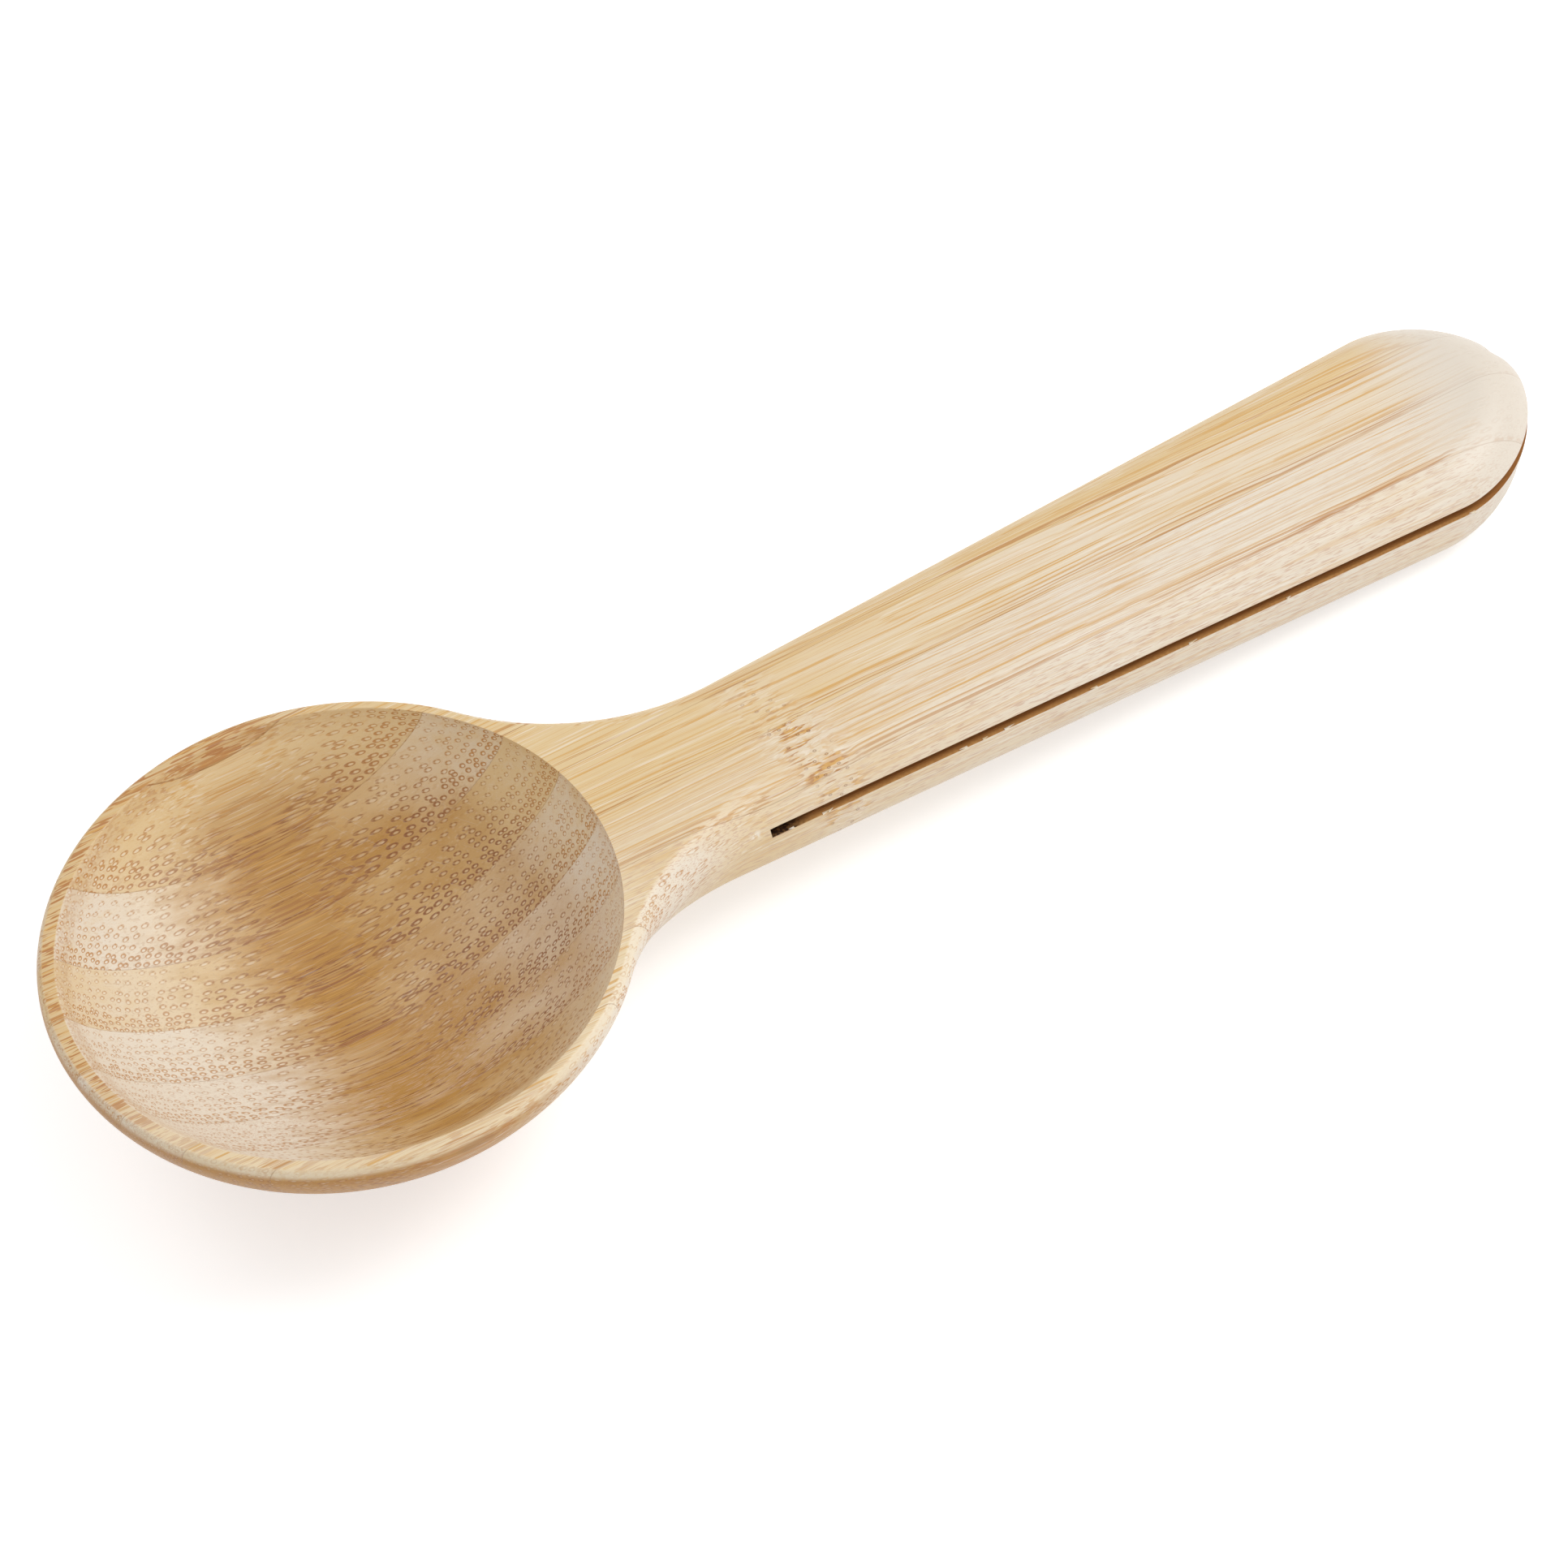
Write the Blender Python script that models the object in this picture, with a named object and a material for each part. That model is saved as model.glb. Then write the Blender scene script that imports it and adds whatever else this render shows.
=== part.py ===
"""Bamboo coffee scoop whose handle is sawn lengthwise into a clip for the coffee bag.

The blank is glued up from bamboo strips that stand side by side and run the length of the scoop. It is
carved as one piece, so the model carves it as one piece too: the outside is a stack of plan outlines,
the hollow is cut from it, and then the saw cut and the glue lines part it into its strips.

Scoop coordinates: the centre of the bowl's rim is at 0,0,0, +X runs along the handle and +Z is up.
The finished objects are moved by SCOOP_SHIFT, so that the world's origin is the middle of the scoop's
footprint at the level of the bowl's underside.
"""

import math

import bmesh
import bpy
from mathutils import Vector

# Bowl, outside
BOWL_RADIUS = 0.0313
BOWL_DEPTH = 0.0200
BOWL_SIDE_FULLNESS = 1.40
BOWL_BASE_FULLNESS = 1.55
BOWL_BASE_RADIUS = 0.0030
RIM_EDGE_WIDTH = 0.0003
RIM_EDGE_HEIGHT = 0.0020

# Bowl, hollow
RIM_WALL = 0.0020
FLOOR_WALL = 0.00435
HOLLOW_FULLNESS = 1.49
HOLLOW_TOWARDS_HANDLE = 0.0007
HOLLOW_BASE_RADIUS = 0.0025
RIM_FLAT_WIDTH = 0.0004
LIP_DEPTH = 0.00235
LIP_FADE_START = math.radians(34)
LIP_FADE_END = math.radians(62)

# Handle and neck
HANDLE_REACH = 0.1383
HANDLE_THICKNESS = 0.01056
HANDLE_HALF_WIDTH_AT_BOWL = 0.00868
HANDLE_END_LENGTH = 0.0130
HANDLE_END_FULLNESS = 1.78
TOP_EDGE_RADIUS = 0.0055
UNDER_EDGE_RADIUS = 0.0033
NECK_RADIUS = 0.0294
UNDER_NECK_LENGTH = 0.0065
UNDER_NECK_DEPTH = 0.0050
UNDER_NECK_FALLOFF = 4

# Saw cut that makes the two jaws of the bag clip
SLIT_START = 0.0451
SLIT_BELOW_TOP = 0.00375
SLIT_WIDTH = 0.0011
JAW_ROOT_GAP = 0.0003
LOWER_END_SLOPE = 0.45

# Bamboo strips, from the near side to the far one. Little is left of the last where the bowl is widest.
LAST_STRIP_SHARE = 0.37
GLUE_LINE = 0.0001
STRIP_NAMES = (
    "near_rim_strip",
    "near_wall_strip",
    "near_handle_strip",
    "near_core_strip",
    "far_core_strip",
    "far_handle_strip",
    "far_wall_strip",
    "far_rim_strip",
    "far_edge_strip",
)
JAW_NAMES = {
    "near_handle_strip": "lower_jaw_near_strip",
    "near_core_strip": "lower_jaw_near_core",
    "far_core_strip": "lower_jaw_far_core",
    "far_handle_strip": "lower_jaw_far_strip",
}

# Bamboo's colour runs from a pale strip to a honey-coloured one
PALE_BAMBOO = (0.76, 0.60, 0.40)
HONEY_BAMBOO = (0.62, 0.41, 0.20)
STRIP_HONEY = (0.4, 0.5, 0.2, 0.1, 0.4, 0.6, 0.7, 0.5, 0.4)
BAMBOO_ROUGHNESS = 0.45
SHARP_ANGLE = math.radians(35)

# Fineness of the facets
BOWL_STEPS = 30
NECK_STEPS = 8
SIDE_STEPS = 3
END_STEPS = 10
HOLLOW_STEPS = 72
EDGE_STEPS = 7
RIM_EDGE_SHARES = (0, 0.125, 0.5)
LIP_STEPS = 5
DOME_STEPS = 8
FLOOR_STEPS = 9
SAME_POINT = 1e-7
CLEAR = 0.01
EMPTY_SIZE = 0.01

SCOOP_SHIFT = Vector(((BOWL_RADIUS - HANDLE_REACH) / 2, 0, BOWL_DEPTH))
HOLLOW_RADIUS = BOWL_RADIUS - RIM_WALL
HOLLOW_DEPTH = BOWL_DEPTH - FLOOR_WALL
STRIP_WIDTH = 2 * BOWL_RADIUS / (len(STRIP_NAMES) - 1 + LAST_STRIP_SHARE)
FAR_WALL_GLUE_LINE = STRIP_NAMES.index("far_wall_strip") * STRIP_WIDTH - BOWL_RADIUS
HANDLE_TAPER = (FAR_WALL_GLUE_LINE - HANDLE_HALF_WIDTH_AT_BOWL) / HANDLE_REACH
SLIT_FLOOR = SLIT_BELOW_TOP + SLIT_WIDTH
JAW_HINGE = Vector((SLIT_START, 0, -(SLIT_FLOOR + HANDLE_THICKNESS) / 2))


def clear_scene():
    for obj in list(bpy.data.objects):
        bpy.data.objects.remove(obj, do_unlink=True)


def rounding(distance, width, height):
    """How far a quarter-ellipse edge stands in from its side, at this distance from the edge's flat face."""
    if distance >= height:
        return 0.0
    return width * (1 - math.sqrt(1 - (1 - distance / height) ** 2))


def steps_to(count):
    """0 to 1 in even steps, without the 0."""
    return [step / count for step in range(1, count + 1)]


def bowl_radius(depth):
    """Radius of the bowl's outside at this depth below the rim."""
    if depth < RIM_EDGE_HEIGHT:
        return BOWL_RADIUS - rounding(depth, RIM_EDGE_WIDTH, RIM_EDGE_HEIGHT)
    down = (depth - RIM_EDGE_HEIGHT) / (BOWL_DEPTH - RIM_EDGE_HEIGHT)
    full = max(1 - down**BOWL_BASE_FULLNESS, 0) ** (1 / BOWL_SIDE_FULLNESS)
    return BOWL_BASE_RADIUS + (BOWL_RADIUS - BOWL_BASE_RADIUS) * full


def edge_inset(depth):
    """How far the handle's outline stands in at this depth, where its long edges are rounded."""
    top = rounding(depth, TOP_EDGE_RADIUS, TOP_EDGE_RADIUS)
    under = rounding(HANDLE_THICKNESS - depth, UNDER_EDGE_RADIUS, UNDER_EDGE_RADIUS)
    return top + under


def end_inset(depth):
    """How far the handle's end stands in at this depth. The lower jaw's end slopes back, to let a bag in."""
    sloped = LOWER_END_SLOPE * max(depth - SLIT_BELOW_TOP, 0)
    return edge_inset(depth) - edge_inset(SLIT_BELOW_TOP) + sloped


def neck_tangent(radius, inset):
    """Centre and radius of the arc that sweeps the bowl's circle into the handle's side."""
    slope = math.hypot(1, HANDLE_TAPER)
    arc = NECK_RADIUS + inset
    offset = HANDLE_HALF_WIDTH_AT_BOWL - inset + arc * slope
    a = 1 + HANDLE_TAPER**2
    b = 2 * HANDLE_TAPER * offset
    c = offset**2 - (radius + arc) ** 2
    x = (-b + math.sqrt(b * b - 4 * a * c)) / (2 * a)
    return Vector((x, offset + HANDLE_TAPER * x)), arc


def bowl_arc(radius, start, end, steps):
    """Points round the bowl from one angle to another, without the first."""
    return [
        Vector((radius * math.cos(angle), radius * math.sin(angle)))
        for angle in (start + (end - start) * t for t in steps_to(steps))
    ]


def mirrored(half):
    """A closed outline from its +Y half, whose first and last points lie on the X axis."""
    return half + [Vector((p.x, -p.y)) for p in reversed(half[1:-1])]


def scoop_outline(depth):
    """Plan outline at this depth: the bowl's circle, the neck's sweep, the handle's side and its end."""
    radius = bowl_radius(depth)
    inset = edge_inset(depth)
    centre, arc = neck_tangent(radius, inset)
    neck_angle = math.atan2(centre.y, centre.x)
    half = [Vector((-radius, 0))] + bowl_arc(radius, math.pi, neck_angle, BOWL_STEPS)

    sweep_start = neck_angle + math.pi
    sweep_end = 1.5 * math.pi + math.atan(HANDLE_TAPER)
    for t in steps_to(NECK_STEPS):
        angle = sweep_start + (sweep_end - sweep_start) * t
        half.append(centre + arc * Vector((math.cos(angle), math.sin(angle))))

    def half_width(x):
        return HANDLE_HALF_WIDTH_AT_BOWL - inset + HANDLE_TAPER * x

    end_length = HANDLE_END_LENGTH - inset / 2
    end_start = HANDLE_REACH - end_inset(depth) - end_length
    side_start = half[-1].x
    for t in steps_to(SIDE_STEPS):
        x = side_start + (end_start - side_start) * t
        half.append(Vector((x, half_width(x))))
    for t in steps_to(END_STEPS):
        along = math.sin(t * math.pi / 2) ** (2 / HANDLE_END_FULLNESS)
        across = max(math.cos(t * math.pi / 2), 0) ** (2 / HANDLE_END_FULLNESS)
        x = end_start + end_length * along
        half.append(Vector((x, half_width(x) * across)))
    half[-1].y = 0
    return mirrored(half)


def dome_outline(depth):
    """Plan outline below the handle: the bowl's circle, swelling into the neck's underside."""
    radius = bowl_radius(depth)
    centre, _ = neck_tangent(bowl_radius(HANDLE_THICKNESS), edge_inset(HANDLE_THICKNESS))
    neck_angle = math.atan2(centre.y, centre.x)
    half = [Vector((-radius, 0))] + bowl_arc(radius, math.pi, neck_angle, BOWL_STEPS)
    swell = rounding(depth - HANDLE_THICKNESS, UNDER_NECK_LENGTH, UNDER_NECK_DEPTH)
    for t in steps_to(NECK_STEPS + SIDE_STEPS + END_STEPS):
        angle = neck_angle * (1 - t)
        middle_share = 1 - (angle / neck_angle) ** 2
        reach = radius + swell * middle_share**UNDER_NECK_FALLOFF
        half.append(Vector((reach * math.cos(angle), reach * math.sin(angle))))
    return mirrored(half)


def edge_depths(radius):
    """Depths from a flat face down round an edge of this radius, closer together where it turns fastest."""
    return [radius * (1 - math.cos(t * math.pi / 2)) for t in steps_to(EDGE_STEPS)]


def ledge(upper, lower):
    """The corners of the flat face between two rings of one height, where their points differ."""
    differ = [index for index in range(len(upper)) if upper[index] is not lower[index]]
    first, last = differ[0], differ[-1]
    return upper[first - 1 : last + 2] + lower[last : first - 1 : -1]


def stack(name, rings):
    """A closed body through rings of matching points. A point that repeats the one above it is shared."""
    mesh = bpy.data.meshes.new(name)
    shape = bmesh.new()
    loops = []
    for ring in rings:
        loop = []
        for index, place in enumerate(ring):
            above = loops[-1][index] if loops else None
            if above is not None and (above.co - place).length < SAME_POINT:
                loop.append(above)
            else:
                loop.append(shape.verts.new(place))
        loops.append(loop)
    shape.faces.new(loops[0])
    shape.faces.new(reversed(loops[-1]))
    for upper, lower in zip(loops, loops[1:]):
        if set(upper) & set(lower):
            shape.faces.new(ledge(upper, lower))
            continue
        for index in range(len(upper)):
            after = (index + 1) % len(upper)
            shape.faces.new((upper[index], lower[index], lower[after], upper[after]))
    bmesh.ops.recalc_face_normals(shape, faces=shape.faces)
    shape.to_mesh(mesh)
    shape.free()
    return mesh


def carved_outside():
    """The scoop before it is hollowed, as outlines stacked from the top face down to the bowl's base."""
    side_end = HANDLE_THICKNESS - UNDER_EDGE_RADIUS
    depths = [RIM_EDGE_HEIGHT * share for share in RIM_EDGE_SHARES] + edge_depths(TOP_EDGE_RADIUS)
    depths += [side_end] + [HANDLE_THICKNESS - d for d in reversed(edge_depths(UNDER_EDGE_RADIUS)[:-1])]
    depths = sorted(depths + [SLIT_BELOW_TOP, HANDLE_THICKNESS])
    rings = [[Vector((*p, -depth)) for p in scoop_outline(depth)] for depth in depths]

    below = [UNDER_NECK_DEPTH * (1 - math.cos(t * math.pi / 2)) for t in steps_to(EDGE_STEPS - 1)]
    neck_end = HANDLE_THICKNESS + UNDER_NECK_DEPTH
    remaining = BOWL_DEPTH - neck_end
    dome = [neck_end + remaining * math.sin(t * math.pi / 2) for t in steps_to(DOME_STEPS)]
    for depth in [HANDLE_THICKNESS, *(HANDLE_THICKNESS + d for d in below), *dome]:
        rings.append([Vector((*p, -depth)) for p in dome_outline(depth)])
    return stack("carved_outside", rings)


def hollow_radius(depth):
    """Radius of the turned hollow at this depth, before its lip is rounded."""
    full = max(1 - (depth / HOLLOW_DEPTH) ** HOLLOW_FULLNESS, 0) ** (1 / HOLLOW_FULLNESS)
    return HOLLOW_BASE_RADIUS + (HOLLOW_RADIUS - HOLLOW_BASE_RADIUS) * full


def hollow_ring(depth, height):
    """The hollow's edge at this depth. The lip is rounded all round, but fades out beside the handle."""
    lip_radius = BOWL_RADIUS - RIM_EDGE_WIDTH - RIM_FLAT_WIDTH
    lip_share = rounding(depth, 1.0, LIP_DEPTH)
    ring = []
    for step in range(HOLLOW_STEPS):
        angle = 2 * math.pi * step / HOLLOW_STEPS
        outward = Vector((math.cos(angle), math.sin(angle), 0))
        shift = Vector((HOLLOW_TOWARDS_HANDLE, 0, 0))
        turned = shift + outward * hollow_radius(depth)
        from_handle = abs((angle + math.pi) % (2 * math.pi) - math.pi)
        fade = (from_handle - LIP_FADE_START) / (LIP_FADE_END - LIP_FADE_START)
        fade = min(max(fade, 0), 1)
        fade = fade * fade * (3 - 2 * fade)
        if depth < LIP_DEPTH:
            lip_foot = shift + outward * hollow_radius(LIP_DEPTH)
            rounded = lip_foot.lerp(outward * lip_radius, lip_share)
            turned = turned.lerp(rounded, fade)
        ring.append(Vector((turned.x, turned.y, height)))
    return ring


def hollow_cutter():
    """The space that the bowl holds, from above the rim down to the hollow's floor."""
    lip = [LIP_DEPTH * (1 - math.cos(t * math.pi / 2)) for t in steps_to(LIP_STEPS)]
    floor = [
        LIP_DEPTH + (HOLLOW_DEPTH - LIP_DEPTH) * math.sin(t * math.pi / 2)
        for t in steps_to(FLOOR_STEPS)
    ]
    rings = [hollow_ring(0, CLEAR)]
    rings += [hollow_ring(depth, -depth) for depth in [0.0, *lip, *floor]]
    return cutter("hollow_cutter", stack("hollow_cutter", rings))


def cutter(name, mesh):
    obj = bpy.data.objects.new(name, mesh)
    bpy.context.scene.collection.objects.link(obj)
    obj.hide_render = True
    obj.display_type = "WIRE"
    return obj


def box_cutter(name, low, high):
    """A box between two opposite corners."""
    mesh = bpy.data.meshes.new(name)
    shape = bmesh.new()
    bmesh.ops.create_cube(shape, size=1)
    low, high = Vector(low), Vector(high)
    bmesh.ops.scale(shape, vec=high - low, verts=shape.verts)
    bmesh.ops.translate(shape, vec=(low + high) / 2, verts=shape.verts)
    shape.to_mesh(mesh)
    shape.free()
    return cutter(name, mesh)


def cut_mesh(name, mesh, cuts):
    """The mesh after (operation, cutter) Booleans, as a mesh of its own."""
    obj = cutter(name + "_cutting", mesh)
    for operation, tool in cuts:
        boolean = obj.modifiers.new(operation.lower(), "BOOLEAN")
        boolean.operation = operation
        boolean.object = tool
        boolean.solver = "EXACT"
    graph = bpy.context.evaluated_depsgraph_get()
    result = bpy.data.meshes.new_from_object(obj.evaluated_get(graph))
    result.name = name
    bpy.data.objects.remove(obj, do_unlink=True)
    return result


def bamboo(name, honey):
    """Oiled bamboo, from pale at 0 to honey at 1."""
    material = bpy.data.materials.new(name)
    material.use_nodes = True
    surface = material.node_tree.nodes["Principled BSDF"]
    colour = [pale + (deep - pale) * honey for pale, deep in zip(PALE_BAMBOO, HONEY_BAMBOO)]
    surface.inputs["Base Color"].default_value = (*colour, 1)
    surface.inputs["Roughness"].default_value = BAMBOO_ROUGHNESS
    surface.inputs["Metallic"].default_value = 0
    material.diffuse_color = (*colour, 1)
    return material


def add_strip(name, mesh, pivot, parent, material):
    """A strip as an object whose origin is its pivot, in scoop coordinates, and whose shape stays put."""
    for vertex in mesh.vertices:
        vertex.co -= pivot
    for polygon in mesh.polygons:
        polygon.use_smooth = True
    mesh.set_sharp_from_angle(angle=SHARP_ANGLE)
    mesh.materials.clear()
    mesh.materials.append(material)
    strip = bpy.data.objects.new(name, mesh)
    bpy.context.scene.collection.objects.link(strip)
    strip.parent = parent
    return strip


def pivot_empty(name, place, parent=None):
    empty = bpy.data.objects.new(name, None)
    bpy.context.scene.collection.objects.link(empty)
    empty.empty_display_size = EMPTY_SIZE
    empty.parent = parent
    empty.location = place
    return empty


def glue_plane(index):
    """Y of the glue line on the near side of this strip, counted from the near side."""
    return index * STRIP_WIDTH - BOWL_RADIUS


def strip_slab(index):
    """A cutter that holds one strip of the blank, less half a glue line on each glued side."""
    last = len(STRIP_NAMES) - 1
    near = glue_plane(index) + GLUE_LINE / 2 if index > 0 else -BOWL_RADIUS - CLEAR
    far = glue_plane(index + 1) - GLUE_LINE / 2 if index < last else BOWL_RADIUS + CLEAR
    low = (-BOWL_RADIUS - CLEAR, near, -BOWL_DEPTH - CLEAR)
    return box_cutter(STRIP_NAMES[index] + "_slab", low, (HANDLE_REACH + CLEAR, far, CLEAR))


def main():
    clear_scene()
    scoop = pivot_empty("scoop", SCOOP_SHIFT)
    jaw_hinge = pivot_empty("lower_jaw_hinge", JAW_HINGE, scoop)

    aside = BOWL_RADIUS + CLEAR
    beyond = HANDLE_REACH + CLEAR
    below = -BOWL_DEPTH - CLEAR
    under_slit = box_cutter("under_slit", (SLIT_START, -aside, below), (beyond, aside, -SLIT_BELOW_TOP))
    jaw_root = SLIT_START + JAW_ROOT_GAP
    jaw_space = box_cutter("jaw_space", (jaw_root, -aside, below), (beyond, aside, -SLIT_FLOOR))

    outside = carved_outside()
    jaw = cut_mesh("jaw_blank", outside.copy(), [("INTERSECT", jaw_space)])
    bowl = cut_mesh("bowl_blank", outside, [("DIFFERENCE", hollow_cutter()), ("DIFFERENCE", under_slit)])
    for index, name in enumerate(STRIP_NAMES):
        slab = strip_slab(index)
        material = bamboo(name.replace("strip", "bamboo"), STRIP_HONEY[index])
        strip = cut_mesh(name, bowl.copy(), [("INTERSECT", slab)])
        add_strip(name, strip, Vector(), scoop, material)
        if name in JAW_NAMES:
            strip = cut_mesh(JAW_NAMES[name], jaw.copy(), [("INTERSECT", slab)])
            add_strip(JAW_NAMES[name], strip, JAW_HINGE, jaw_hinge, material)


main()
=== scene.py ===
import math

import bmesh
import bpy
from mathutils import Matrix, Vector


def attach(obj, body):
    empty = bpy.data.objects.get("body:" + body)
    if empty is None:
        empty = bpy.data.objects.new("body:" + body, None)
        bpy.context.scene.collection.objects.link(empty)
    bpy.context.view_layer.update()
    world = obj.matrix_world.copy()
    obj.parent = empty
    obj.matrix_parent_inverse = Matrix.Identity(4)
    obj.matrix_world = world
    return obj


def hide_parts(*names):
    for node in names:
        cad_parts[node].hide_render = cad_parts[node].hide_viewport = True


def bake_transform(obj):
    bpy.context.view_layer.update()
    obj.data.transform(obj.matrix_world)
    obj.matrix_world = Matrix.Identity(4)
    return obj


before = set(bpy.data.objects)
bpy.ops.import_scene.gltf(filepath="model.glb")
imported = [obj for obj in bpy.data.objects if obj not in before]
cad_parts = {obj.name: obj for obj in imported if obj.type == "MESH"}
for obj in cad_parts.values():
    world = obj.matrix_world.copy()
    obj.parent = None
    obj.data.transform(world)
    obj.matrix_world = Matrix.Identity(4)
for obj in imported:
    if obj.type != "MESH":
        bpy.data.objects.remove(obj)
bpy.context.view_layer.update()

# The scoop's blank. The real one is glued up from nine bamboo strips, turned and sanded as one
# piece, so it is carved whole here: the outside as rings pulled down from the top face, then the
# hollow. Its own zero is the middle of the bowl's rim, with +X along the handle.
BOWL_RADIUS = 0.0313
BOWL_DEPTH = 0.0200
BOWL_SIDE_FULLNESS = 1.40
BOWL_BASE_FULLNESS = 1.55
BOWL_BASE_RADIUS = 0.0030
RIM_EDGE_WIDTH = 0.0008
RIM_EDGE_HEIGHT = 0.0016
RIM_FLAT_WIDTH = 0.0004
HANDLE_REACH = 0.1383
HANDLE_THICKNESS = 0.01056
HANDLE_HALF_WIDTH_AT_BOWL = 0.00868
HANDLE_TAPER = 0.0354
HANDLE_END_LENGTH = 0.0130
HANDLE_END_FULLNESS = 1.78
SLIT_START = 0.0451
SLIT_WIDTH = 0.0011
SLIT_BELOW_TOP = 0.00375
LOWER_END_SLOPE = 0.45
TOP_EDGE_RADIUS = 0.0055
UNDER_EDGE_RADIUS = 0.0033
NECK_RADIUS = 0.0294
UNDER_NECK_LENGTH = 0.0065
UNDER_NECK_DEPTH = 0.0050
UNDER_NECK_FULLNESS = 4
HOLLOW_RADIUS = 0.0293
HOLLOW_DEPTH = 0.01565
HOLLOW_FULLNESS = 1.49
HOLLOW_TOWARDS_HANDLE = 0.0007
HOLLOW_BASE_RADIUS = 0.0025
LIP_RADIUS = BOWL_RADIUS - RIM_EDGE_WIDTH - RIM_FLAT_WIDTH
LIP_DEPTH = 0.0026
LIP_SHARE = 0.5
LIP_FADE_START = math.radians(34)
LIP_FADE_END = math.radians(62)
DENT = Vector((0.1374, 0.0032, -0.0030))
DENT_REACH = 0.0016
DENT_DEPTH = 0.0007
BLANK_TO_ROW = Vector(((BOWL_RADIUS - HANDLE_REACH) / 2, 0, BOWL_DEPTH))

BOWL_STEPS = 90
NECK_STEPS = 30
SIDE_STEPS = 40
END_STEPS = 30
HOLLOW_STEPS = 240
TOP_EDGE_STEPS = 22
UNDER_EDGE_STEPS = 12
NECK_DROP_STEPS = 16
DOME_STEPS = 24
LIP_STEPS = 12
FLOOR_STEPS = 40


def steps_to(count):
    """0 to 1 in even steps, without the 0."""
    return [step / count for step in range(1, count + 1)]


def turned(radius, angle):
    return Vector((radius * math.cos(angle), radius * math.sin(angle)))


def eased(share):
    """0 to 1 with a soft start and end."""
    return share * share * (3 - 2 * share)


def rounding(distance, width, height):
    """How far a rounded edge stands in from its side, this far from the edge's flat face."""
    if distance >= height:
        return 0.0
    return width * (1 - math.sqrt(1 - (1 - distance / height) ** 2))


def bowl_radius(depth):
    if depth < RIM_EDGE_HEIGHT:
        return BOWL_RADIUS - rounding(depth, RIM_EDGE_WIDTH, RIM_EDGE_HEIGHT)
    down = (depth - RIM_EDGE_HEIGHT) / (BOWL_DEPTH - RIM_EDGE_HEIGHT)
    full = max(1 - down**BOWL_BASE_FULLNESS, 0) ** (1 / BOWL_SIDE_FULLNESS)
    return BOWL_BASE_RADIUS + (BOWL_RADIUS - BOWL_BASE_RADIUS) * full


def edge_inset(depth):
    top = rounding(depth, TOP_EDGE_RADIUS, TOP_EDGE_RADIUS)
    return top + rounding(HANDLE_THICKNESS - depth, UNDER_EDGE_RADIUS, UNDER_EDGE_RADIUS)


def end_inset(depth):
    """How far the handle's end stands in. Below the saw cut it slopes back, to let a bag in."""
    sloped = LOWER_END_SLOPE * max(depth - SLIT_BELOW_TOP, 0)
    return edge_inset(depth) - edge_inset(SLIT_BELOW_TOP) + sloped


def neck_sweep(radius, inset):
    """Centre and radius of the arc that sweeps the bowl's circle into the handle's side."""
    arc = NECK_RADIUS + inset
    offset = HANDLE_HALF_WIDTH_AT_BOWL - inset + arc * math.hypot(1, HANDLE_TAPER)
    a = 1 + HANDLE_TAPER**2
    b = 2 * HANDLE_TAPER * offset
    c = offset**2 - (radius + arc) ** 2
    x = (-b + math.sqrt(b * b - 4 * a * c)) / (2 * a)
    return Vector((x, offset + HANDLE_TAPER * x)), arc


def bowl_arc(radius, neck_angle):
    """The bowl's circle on the far side, from opposite the handle round to the neck."""
    sweep = neck_angle - math.pi
    return [turned(radius, math.pi + sweep * t) for t in [0, *steps_to(BOWL_STEPS)]]


def both_sides(half):
    return half + [Vector((place.x, -place.y)) for place in reversed(half[1:-1])]


def scoop_outline(depth):
    """The plan at this depth: the bowl's circle, the neck's sweep, the handle's side and end."""
    radius, inset = bowl_radius(depth), edge_inset(depth)
    centre, arc = neck_sweep(radius, inset)
    neck_angle = math.atan2(centre.y, centre.x)
    half = bowl_arc(radius, neck_angle)
    start, end = neck_angle + math.pi, 1.5 * math.pi + math.atan(HANDLE_TAPER)
    half += [centre + turned(arc, start + (end - start) * t) for t in steps_to(NECK_STEPS)]

    end_length = HANDLE_END_LENGTH - inset / 2
    end_start = HANDLE_REACH - end_inset(depth) - end_length
    side_start = half[-1].x
    side = [(side_start + (end_start - side_start) * t, 1) for t in steps_to(SIDE_STEPS)]
    for t in steps_to(END_STEPS):
        along = math.sin(t * math.pi / 2) ** (2 / HANDLE_END_FULLNESS)
        across = max(math.cos(t * math.pi / 2), 0) ** (2 / HANDLE_END_FULLNESS)
        side.append((end_start + end_length * along, across))
    for x, across in side:
        half_width = HANDLE_HALF_WIDTH_AT_BOWL - inset + HANDLE_TAPER * x
        half.append(Vector((x, half_width * across)))
    half[-1].y = 0
    return both_sides(half)


def dome_outline(depth):
    """The plan below the handle: the bowl's circle, which swells into the neck's underside."""
    radius = bowl_radius(depth)
    centre, _ = neck_sweep(bowl_radius(HANDLE_THICKNESS), edge_inset(HANDLE_THICKNESS))
    neck_angle = math.atan2(centre.y, centre.x)
    half = bowl_arc(radius, neck_angle)
    swell = rounding(depth - HANDLE_THICKNESS, UNDER_NECK_LENGTH, UNDER_NECK_DEPTH)
    for t in steps_to(NECK_STEPS + SIDE_STEPS + END_STEPS):
        swollen = radius + swell * (1 - (1 - t) ** 2) ** UNDER_NECK_FULLNESS
        half.append(turned(swollen, neck_angle * (1 - t)))
    return both_sides(half)


def hollow_radius(depth):
    full = max(1 - (depth / HOLLOW_DEPTH) ** HOLLOW_FULLNESS, 0) ** (1 / HOLLOW_FULLNESS)
    return HOLLOW_BASE_RADIUS + (HOLLOW_RADIUS - HOLLOW_BASE_RADIUS) * full


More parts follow.
